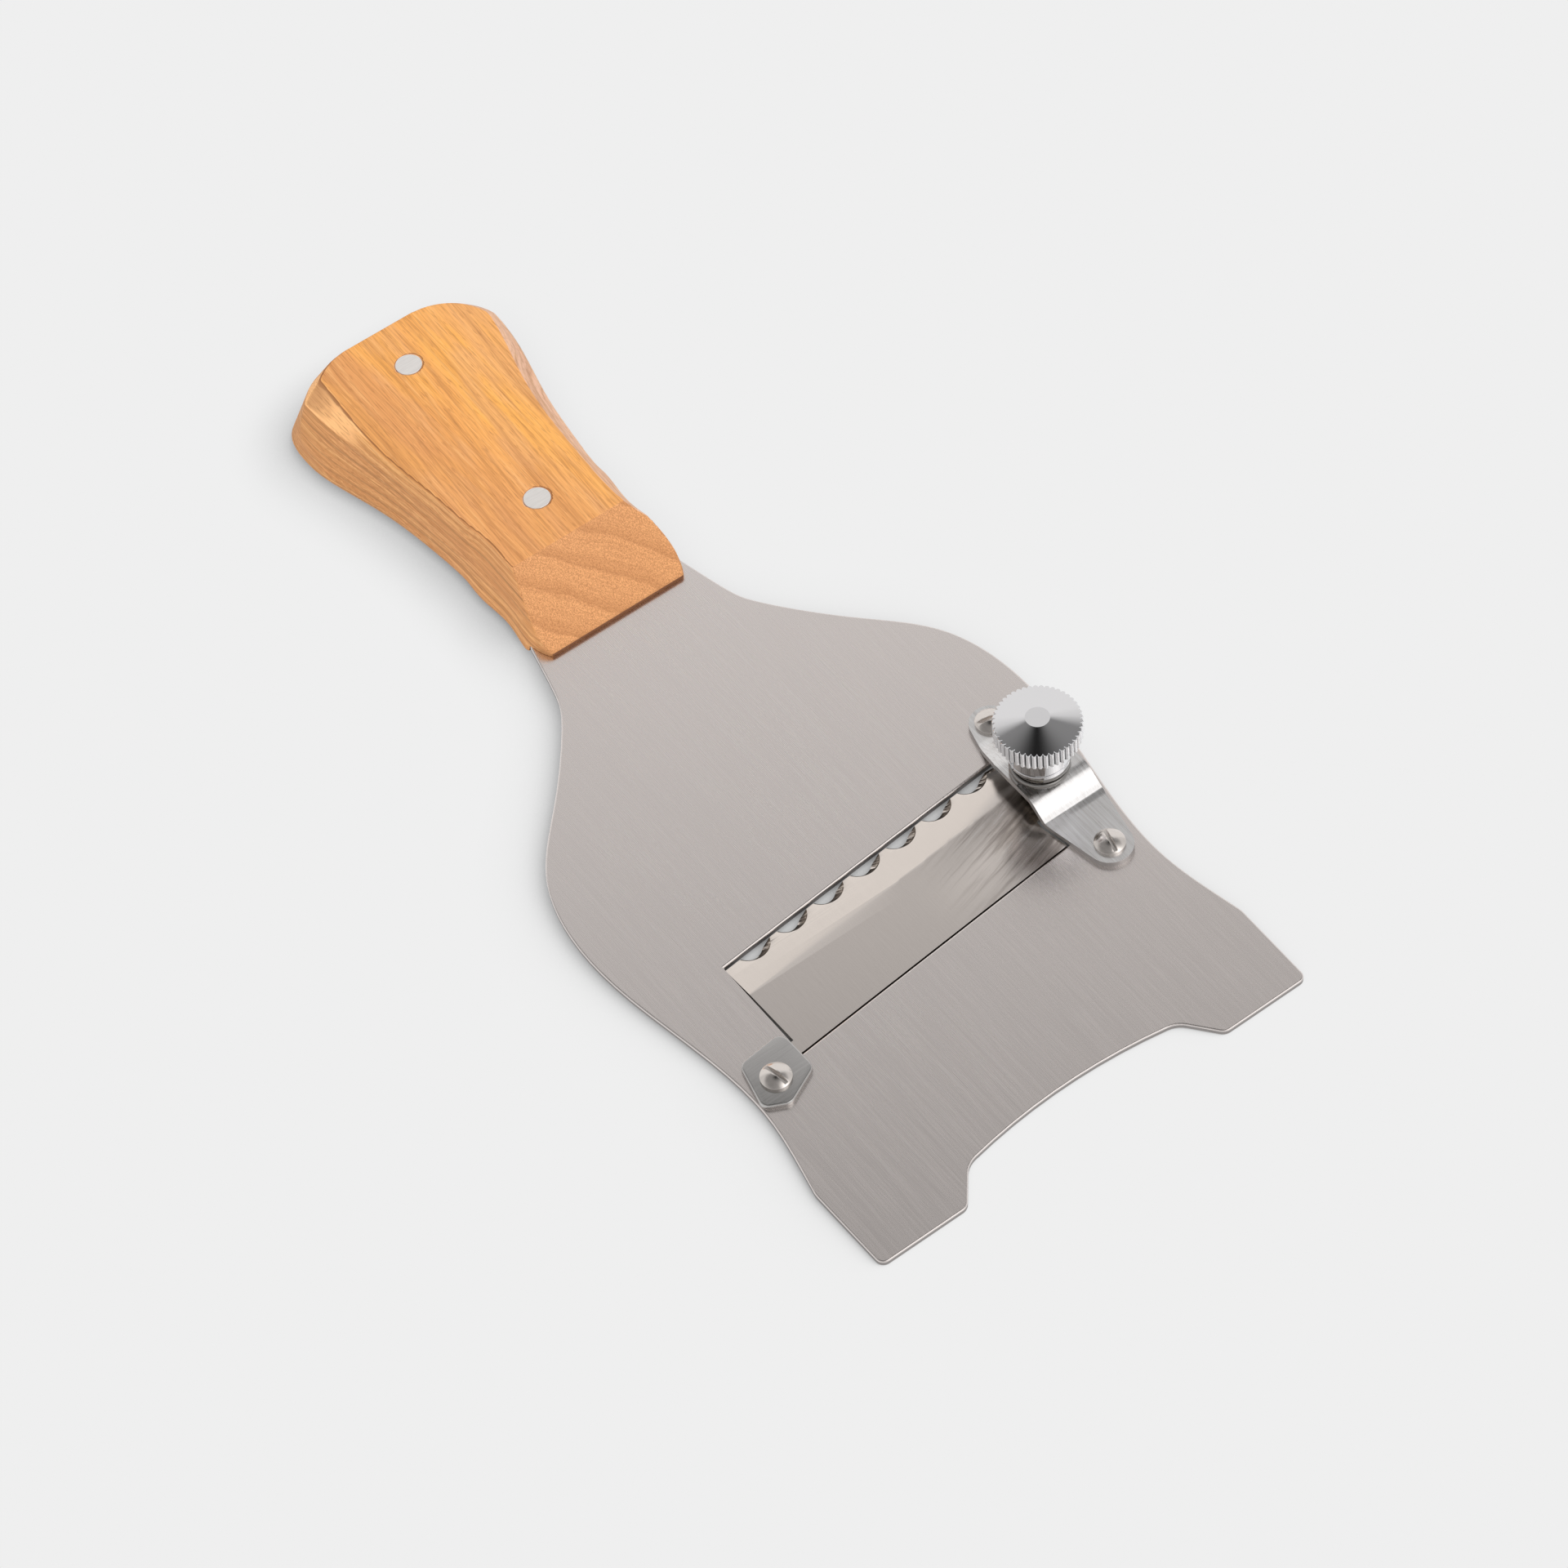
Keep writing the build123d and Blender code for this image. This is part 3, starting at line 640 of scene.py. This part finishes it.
def knob_chrome():
    """Bright chrome, with the teeth of the knurl duller and painted shade in their grooves."""
    low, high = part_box("knob_head")
    middle = middle_of("knob_head")
    rim = (high.y - low.y) / 2
    g = new_material("knob_chrome")
    x, y, z = g.axes(g.coordinates("Object"))
    from_axis = g.vector(g.math("SUBTRACT", x, middle.x), g.math("SUBTRACT", y, middle.y))
    out = g.add("ShaderNodeVectorMath", {0: from_axis}, operation="LENGTH").outputs["Value"]
    below = g.math("LESS_THAN", z, high.z - head_cone_height - cone_chamfer)
    outer = g.math("GREATER_THAN", out, rim - knurl_depth * tooth_depth_share)
    teeth = g.math("MULTIPLY", below, outer)
    # Painted shade, deepest in the grooves between the teeth
    deep = g.range(out, rim - knurl_depth * groove_clear_share, rim - knurl_depth)
    tone = g.mix(g.math("MULTIPLY", deep, teeth), chrome_colour, groove_painted_shade)
    dust = g.stretched(dust_sizes, detail=dust_detail)
    return g.finish(Base_Color=tone, Metallic=g.range(teeth, 0.0, 1.0, 1.0, tooth_metallic),
                    Roughness=g.range(dust, *noise_span, *chrome_roughness))


def blade_steel():
    """Blade steel, finely brushed, with painted shade on its walls, the scallops' above all, brown at
    the top and dark further down, and painted reflections by the bridge.
    """
    g = new_material("blade_steel")
    grain = g.stretched(blade_grain_sizes, **fine_grain)
    facing, _, up = g.axes(g.coordinates("Normal"))
    x, y, height = g.axes(g.coordinates("Object"))
    # Painted reflection streaks drift across the blade as the trough does, and only its flat part has
    # them
    across = g.math("ADD", x, g.math("MULTIPLY", y, trough_drift))
    inner = g.math("ADD", x, g.math("MULTIPLY", y, tan(window_slant)))
    patterns = {
        "facing": facing, "up": up, "y": y,
        "streak": g.noise_over((across, y), **trough_reflection_streaks),
        "flat": g.range(inner, bevel_end_x - bevel_end_fade, bevel_end_x + bevel_end_fade),
    }
    tone = g.mix(g.range(grain, *noise_span), scaled(blade_colour, 1 - blade_contrast),
                 scaled(blade_colour, 1 + blade_contrast))
    # Painted shade on the walls, darker towards their bottom
    ground = g.mix(g.range(height, *painted_wall_shade_span), painted_wall_shade_bottom, painted_wall_shade_top)
    tone = overlaid(g, patterns, tone, (*blade_layers, (ground, 1.0, painted_wall_shade_mark)))
    return g.finish(Base_Color=tone, Metallic=1.0,
                    Roughness=g.range(grain, *noise_span, *blade_roughness),
                    Normal=g.bump(grain, blade_grain_depth))


def wood_patterns(g):
    """What the wood's colours follow: places, facets, growth layers and noise."""
    place = g.coordinates("Object")
    x, y, z = g.axes(place)
    facing, side, up = g.axes(g.coordinates("Normal"))
    patterns = {"x": x, "y": y, "facing": facing, "side": side, "up": up}
    for name, settings in wood_noise.items():
        patterns[name] = g.stretched(**settings)
    wander = patterns["wander"]
    swing = g.math("MULTIPLY", g.math("SUBTRACT", wander, noise_middle), layer_wander * 2)
    layer = g.math("ADD", g.reach(place, layer_direction), swing)
    level = g.math("ADD", z, g.math("MULTIPLY", wander, layer_wander))
    ring = g.repeated(g.math("SUBTRACT", layer, layer_start), layer_spacing)
    leaf = marked(g, patterns, leaf_share, (*left_facet_marks, ("x", *leaf_x)))
    wall = marked(g, patterns, 1.0, (wall_mark,))
    patterns.update({
        "layer": layer,
        "line": g.ramp(ring, line_stops),
        "band": g.ramp(ring, band_stops),
        "small_line": g.ramp(g.repeated(layer, small_layer_spacing), small_line_stops),
        "streak": g.noise_over((x, layer, y), **layer_streaks),
        "thin": g.noise_over((x, layer, y), **thin_streaks),
        "stripe": g.noise_over((x, level), **wall_stripes),
        "leaf": leaf,
        "wall": g.math("MAXIMUM", g.math("SUBTRACT", wall, leaf), 0.0),
        "strip": g.math("LESS_THAN", z, front_strip_top),
    })
    return patterns


def layer_tone(g, layer):
    """The wood's colour by the height of its growth layer."""
    low = wood_tones[0][0]
    high = wood_tones[-1][0]
    height = g.math("DIVIDE", g.math("SUBTRACT", layer, low), high - low)
    return g.ramp(height, [((at - low) / (high - low), colour) for at, colour in wood_tones])


def wood():
    """Handle wood: long streaks on its sides, and speckled end grain with dark bands at the front."""
    g = new_material("handle_wood")
    patterns = wood_patterns(g)
    end_grain = overlaid(g, patterns, end_grain_dark, end_grain_layers)
    tone = overlaid(g, patterns, layer_tone(g, patterns["layer"]), (
        *wood_layers,
        (end_grain, 1.0, end_grain_mark),
        # Painted shadow along the foot of the handle's front
        (strip_painted_shadow, strip_share, ("strip",), strip_mark),
    ))
    relief = g.average(fibre_relief_share, patterns["fibre"], patterns["pore"])
    return g.finish(Base_Color=tone, Specular_IOR_Level=wood_specular,
                    Roughness=g.range(patterns["streak"], *noise_span, *wood_roughness),
                    Normal=g.bump(relief, wood_relief_depth))


def make_materials():
    """Every material by its name."""
    made = {"handle_wood": wood(), "blade_steel": blade_steel(), "knob_chrome": knob_chrome()}
    for name, settings in brushed_metals.items():
        made[name] = brushed_metal(name, **settings)
    for name, (colour, roughness) in polished_metals.items():
        made[name] = polished_metal(name, colour, roughness)
    return made


# Pieces

def make_handle():
    """Wooden handle with softened edges and a fine surface."""
    piece = new_object("wood_handle", copied_mesh("handle_block"))
    remesh = piece.modifiers.new("even_mesh", "REMESH")
    remesh.mode = "VOXEL"
    remesh.voxel_size = handle_voxel
    remesh.use_smooth_shade = True
    smooth = piece.modifiers.new("soft_edges", "SMOOTH")
    smooth.factor = handle_smooth_factor
    smooth.iterations = handle_smooth_steps
    dress(piece, "handle_block", "frame", "handle_wood")


def lathe(name, rings, count):
    """A closed body turned about the knob's axis. A ring has its height by radius, and its radius
    by angle."""
    middle = middle_of("knob_stud")
    work = bmesh.new()
    rows = []
    for height, radius in rings:
        row = []
        for number in range(count):
            angle = 2 * pi * number / count
            reach = radius(angle)
            row.append(work.verts.new((middle.x + reach * cos(angle),
                                       middle.y + reach * sin(angle), height(reach))))
        rows.append(row)
    join_rings(work, rows)
    return new_object(name, finished_mesh(work, name))


def round_ring(radius):
    """The same radius at every angle."""
    return lambda angle: radius


def toothed_ring(radius):
    """A radius that goes in and out with the rounded teeth of the knurl."""
    def reach(angle):
        place = (angle * knurl_count / (2 * pi)) % 1.0
        return radius - knurl_depth * abs(2 * place - 1) ** groove_power
    return reach


def level(height):
    """The same height at every radius."""
    return lambda reach: height


def make_knob():
    """Chromed knob: boss, knurled rim with chamfered teeth, and a low cone with a flat top."""
    low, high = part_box("knob_head")
    rim_radius = (high.y - low.y) / 2
    rim_top = high.z - head_cone_height
    head_bottom = rim_top - head_rim_height
    cone_slope = head_cone_height / (rim_radius - head_flat_radius)
    inner = rim_radius - knurl_depth - rim_chamfer

    def cone(reach):
        return high.z - (reach - head_flat_radius) * cone_slope

    rings = []
    for number in range(boss_edge_steps + 1):
        angle = pi / 2 * number / boss_edge_steps
        rings.append((level(low.z + boss_edge_radius * (1 - cos(angle))),
                      round_ring(boss_radius - boss_edge_radius * (1 - sin(angle)))))
    rings += [(level(head_bottom - boss_fillet), round_ring(boss_radius)),
              (level(head_bottom), round_ring(boss_radius + boss_fillet)),
              (level(head_bottom), round_ring(inner)),
              (level(head_bottom), toothed_ring(rim_radius - rim_chamfer)),
              (level(head_bottom + rim_chamfer), toothed_ring(rim_radius)),
              (level(rim_top - cone_chamfer), toothed_ring(rim_radius)),
              (cone, toothed_ring(rim_radius - cone_chamfer)),
              (cone, round_ring(inner)),
              (cone, round_ring(head_flat_radius)),
              (level(high.z), round_ring(head_flat_radius - flat_chamfer))]
    piece = lathe("knurled_knob", rings, knurl_count * points_per_tooth)
    shade(piece, knob_sharp_degrees)
    dress(piece, "knob_head", "knob", "knob_chrome")


def make_spring():
    """Compression spring of round wire, one tube whose ends lie on the bridge and the washer."""
    low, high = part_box("knob_spring")
    middle = middle_of("knob_stud")
    bottom = low.z + spring_wire / 2
    rise = high.z - low.z - spring_wire
    count = round(spring_turns * spring_steps_per_turn)
    top_angle = radians(spring_top_angle_degrees)
    work = bmesh.new()
    rows = []
    for number in range(count + 1):
        share = number / count
        angle = top_angle + 2 * pi * spring_turns * (1 - share)
        out = Vector((cos(angle), sin(angle), 0))
        centre = Vector((middle.x, middle.y, bottom + rise * share)) + out * spring_mean_radius
        row = []
        for side in range(spring_sides):
            turn = 2 * pi * side / spring_sides
            offset = out * cos(turn) + Vector((0, 0, sin(turn)))
            row.append(work.verts.new(centre + offset * (spring_wire / 2)))
        rows.append(row)
    join_rings(work, rows)
    bmesh.ops.recalc_face_normals(work, faces=work.faces)
    piece = new_object("wire_spring", finished_mesh(work, "wire_spring"))
    shade(piece, spring_sharp_degrees)
    dress(piece, "knob_spring", None, "spring_steel")
    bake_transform(piece)


def strap_height(x, rise, soft):
    """Height of a strap that rises and falls between its bends, with the corners averaged out."""
    front, top_front, top_rear, rear = bridge_bends
    total = 0.0
    for number in range(bend_samples):
        place = x + soft * ((number + 0.5) / bend_samples - 0.5)
        up = (front - place) / (front - top_front)
        down = (place - rear) / (top_rear - rear)
        total += rise * clamped(min(up, down))
    return total / bend_samples


def bridge_rise():
    """How far the bridge's strap rises between its bends."""
    low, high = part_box("bridge")
    return high.z - low.z - bridge_thickness


def make_bridge():
    """Strap whose bends are rounder than they are in the solid."""
    piece = new_object("bent_bridge", copied_mesh("bridge"))
    rise = bridge_rise()
    work = bmesh.new()
    work.from_mesh(piece.data)
    reach = bridge_bend_soft / 2
    start = bridge_bends[-1] - reach
    count = round((bridge_bends[0] + reach - start) / bridge_cut_step) + 1
    cut_in_steps(work, Vector((1, 0, 0)), start, bridge_cut_step, count)
    for vertex in work.verts:
        soft = strap_height(vertex.co.x, rise, bridge_bend_soft)
        crisp = strap_height(vertex.co.x, rise, bridge_bend_crisp)
        vertex.co.z += soft - crisp
    work.to_mesh(piece.data)
    work.free()
    round_edges(piece, bridge_bevel)
    dress(piece, "bridge", "frame", "brushed_fitting")


def lean_scallops(work, bottom):
    """Leans the walls of the scallops, so that each shows a ground crescent on its right."""
    inward = Vector((cos(window_slant), sin(window_slant)))
    onward = Vector((-sin(window_slant), cos(window_slant)))
    way = Vector(scallop_wall_way)
    for number in range(scallop_count):
        along = first_scallop + number * scallop_pitch
        middle = Vector(scallop_start) + onward * along - inward * scallop_outside
        for vertex in work.verts:
            away = vertex.co.xy - middle
            if vertex.co.z < bottom + weld_distance and away.length < scallop_radius + scallop_margin:
                deep = (away.dot(inward) - scallop_outside) / (scallop_radius - scallop_outside)
                share = max(0.0, away.dot(way) / scallop_radius) * clamped(deep / full_lean_share)
                vertex.co.xy -= way * scallop_wall_lean * share
                vertex.co.z -= scallop_wall_drop * share


def reach_under_bridge(work):
    """Carries the blade's shoulder on under the bridge, wherever the arch leaves it room."""
    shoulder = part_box("bridge")[0].y - blade_bridge_gap
    rise = bridge_rise()
    for vertex in work.verts:
        if abs(vertex.co.y - shoulder) < weld_distance:
            room = min(strap_height(vertex.co.x + ahead, rise, bridge_bend_soft)
                       for ahead in (0.0, blade_step))
            if room > blade_clear_rise:
                vertex.co.y += blade_reach
                vertex.co.z -= blade_reach_drop
                vertex.co.x -= blade_reach * tan(window_slant)


def press_trough(work, end):
    """Presses a shallow trough into the blade, deepest where it ends at the bridge."""
    for vertex in work.verts:
        back = end - vertex.co.y
        share = clamped(1 - back / trough_length)
        smooth_share = share * share * (3 - 2 * share)
        width = trough_width + trough_widening * max(0.0, back)
        away = (vertex.co.x - trough_place_x - trough_drift * back) / width
        vertex.co.z -= trough_depth * smooth_share * exp(-away * away)


def make_blade():
    """Blade with softened edges, pressed into a shallow trough where the bridge holds it down."""
    piece = new_object("toothed_blade", copied_mesh("blade"))
    low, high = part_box("blade")
    bridge_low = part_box("bridge")[0]
    work = bmesh.new()
    work.from_mesh(piece.data)
    cut_in_steps(work, Vector((0, 1, 0)), bridge_low.y - trough_length, trough_step,
                 round(trough_length / trough_step) + 1)
    cut_in_steps(work, Vector((1, 0, 0)), low.x, blade_step, round((high.x - low.x) / blade_step))
    lean_scallops(work, low.z)
    reach_under_bridge(work)
    press_trough(work, bridge_low.y)
    work.to_mesh(piece.data)
    work.free()
    round_edges(piece, blade_bevel)
    dress(piece, "blade", "blade", "blade_steel")


def make_small_parts():
    """Copies of the small metal parts with rounded edges. The lug alone has a look of its own: the
    fitting's metal brushed across and darkened as painted shade.
    """
    for node, name, width, slot, look in (
            ("blade_lug", "corner_lug", lug_bevel, "brushed_fitting", "shaded_lug_fitting"),
            ("blade_lug_screw", "lug_screw", screw_bevel, "screw_nickel", None),
            ("bridge_front_screw", "front_bridge_screw", screw_bevel, "screw_nickel", None),
            ("bridge_rear_screw", "rear_bridge_screw", screw_bevel, "screw_nickel", None),
            ("thrust_washer", "knob_washer", washer_bevel, "knob_chrome", None),
            ("front_handle_rivet", "front_rivet", rivet_bevel, "rivet_steel", None),
            ("rear_handle_rivet", "rear_rivet", rivet_bevel, "rivet_steel", None)):
        piece = new_object(name, copied_mesh(node))
        round_edges(piece, width)
        dress(piece, node, body_of(node), slot, look)


def finish_cad_nodes():
    """Gives each CAD node that stays its own finish."""
    for node, slot in (("slicer_plate", "brushed_plate"), ("bridge_bush", "bush_brass"),
                       ("knob_stud", "screw_nickel")):
        piece = frame["nodes"][node]
        for place in piece.material_slots:
            place.material = materials[slot]


# Setting

def make_floor():
    """Pale floor that meets the handle and the tip. The camera and reflections see it as a plain
    glow, with a soft shadow where the slicer is close."""
    half = floor_size / 2
    slope = tan(radians(floor_tilt_degrees))
    places = [(x, y, (x - floor_touch_x) * slope) for x, y in
              ((-half, -half), (half, -half), (half, half), (-half, half))]
    mesh = bpy.data.meshes.new("floor")
    mesh.from_pydata(places, [], [(0, 1, 2, 3)])
    piece = new_object("floor", mesh)
    g = new_material("pale_floor")
    material = g.finish(Base_Color=[floor_level] * 3, Roughness=floor_roughness,
                        Specular_IOR_Level=floor_specular)
    nodes = g.tree.nodes
    way = g.add("ShaderNodeVectorMath", {0: shadow_way}, operation="NORMALIZE").outputs[0]
    near = g.add("ShaderNodeAmbientOcclusion", {"Distance": shadow_reach, "Normal": way})
    covered = g.math("SUBTRACT", 1.0, near.outputs["AO"])
    shadow = g.math("MULTIPLY", g.math("POWER", covered, shadow_power), shadow_depth)
    glow = g.add("ShaderNodeEmission", {"Color": [background_level] * 3,
                                        "Strength": g.math("SUBTRACT", 1.0, shadow)})
    rays = g.add("ShaderNodeLightPath").outputs
    seen = g.math("MAXIMUM", rays["Is Camera Ray"], rays["Is Glossy Ray"])
    blend = g.add("ShaderNodeMixShader", {0: seen, 1: nodes["Principled BSDF"].outputs[0],
                                          2: glow.outputs[0]})
    g.put(nodes["Material Output"].inputs["Surface"], blend.outputs[0])
    piece.data.materials.append(material)


def room_spot(g, place, direction, spread):
    """A soft round spot of the room: 1 in its own direction, and less the further from it."""
    away = g.math("SUBTRACT", g.reach(place, Vector(direction).normalized()), 1.0)
    return g.math("EXPONENT", g.math("DIVIDE", away, spread))


def make_room():
    """The room that metal reflects, behind a plain pale background for the camera."""
    world = bpy.data.worlds.new("studio")
    bpy.context.scene.world = world
    g = Graph(world)
    place = g.coordinates("Generated")
    back = g.ramp(g.reach(place, Vector(far_direction).normalized()), back_stops)
    low = g.ramp(g.reach(place, upward), horizon_stops)
    panel = room_spot(g, place, panel_direction, panel_spread)
    # The near side of the knob's cone reflects this patch
    patch_direction = Vector(far_direction) * sin(patch_lean) + Vector(upward) * cos(patch_lean)
    patch = room_spot(g, place, patch_direction, patch_spread)
    lit = g.math("ADD", g.math("MAXIMUM", back, low), g.math("MULTIPLY", panel, panel_level))
    light = g.math("MULTIPLY", lit, g.math("SUBTRACT", 1.0, patch))
    tinted = g.add("ShaderNodeVectorMath", {0: room_tint, "Scale": light}, operation="SCALE")
    seen = g.add("ShaderNodeLightPath").outputs["Is Camera Ray"]
    shown = g.mix(seen, tinted.outputs[0], [background_level] * 3)
    g.put(g.tree.nodes["Background"].inputs["Color"], shown)


def make_lamps():
    """Wide soft lamps, kept out of the reflections."""
    for name, (direction, strength, angle, shadows) in lamps.items():
        lamp = bpy.data.lights.new(name, "SUN")
        lamp.energy = strength
        lamp.angle = radians(angle)
        lamp.use_shadow = shadows
        light = bpy.data.objects.new(name, lamp)
        light.rotation_euler = Vector(direction).to_track_quat("Z", "Y").to_euler()
        light.visible_glossy = False
        bpy.context.scene.collection.objects.link(light)


def make_camera():
    """Camera at the photograph's place and angle."""
    data = bpy.data.cameras.new("camera")
    data.lens = camera_lens
    data.sensor_width = camera_sensor
    data.clip_start = camera_clip_start
    camera = bpy.data.objects.new("camera", data)
    camera.location = camera_place
    camera.rotation_euler = Euler([radians(angle) for angle in camera_turn_degrees])
    bpy.context.scene.collection.objects.link(camera)
    bpy.context.scene.camera = camera


materials = make_materials()
make_handle()
make_knob()
make_spring()
make_blade()
make_bridge()
make_small_parts()
finish_cad_nodes()
make_floor()
make_room()
make_lamps()
make_camera()
bpy.context.scene.view_settings.view_transform = "Standard"
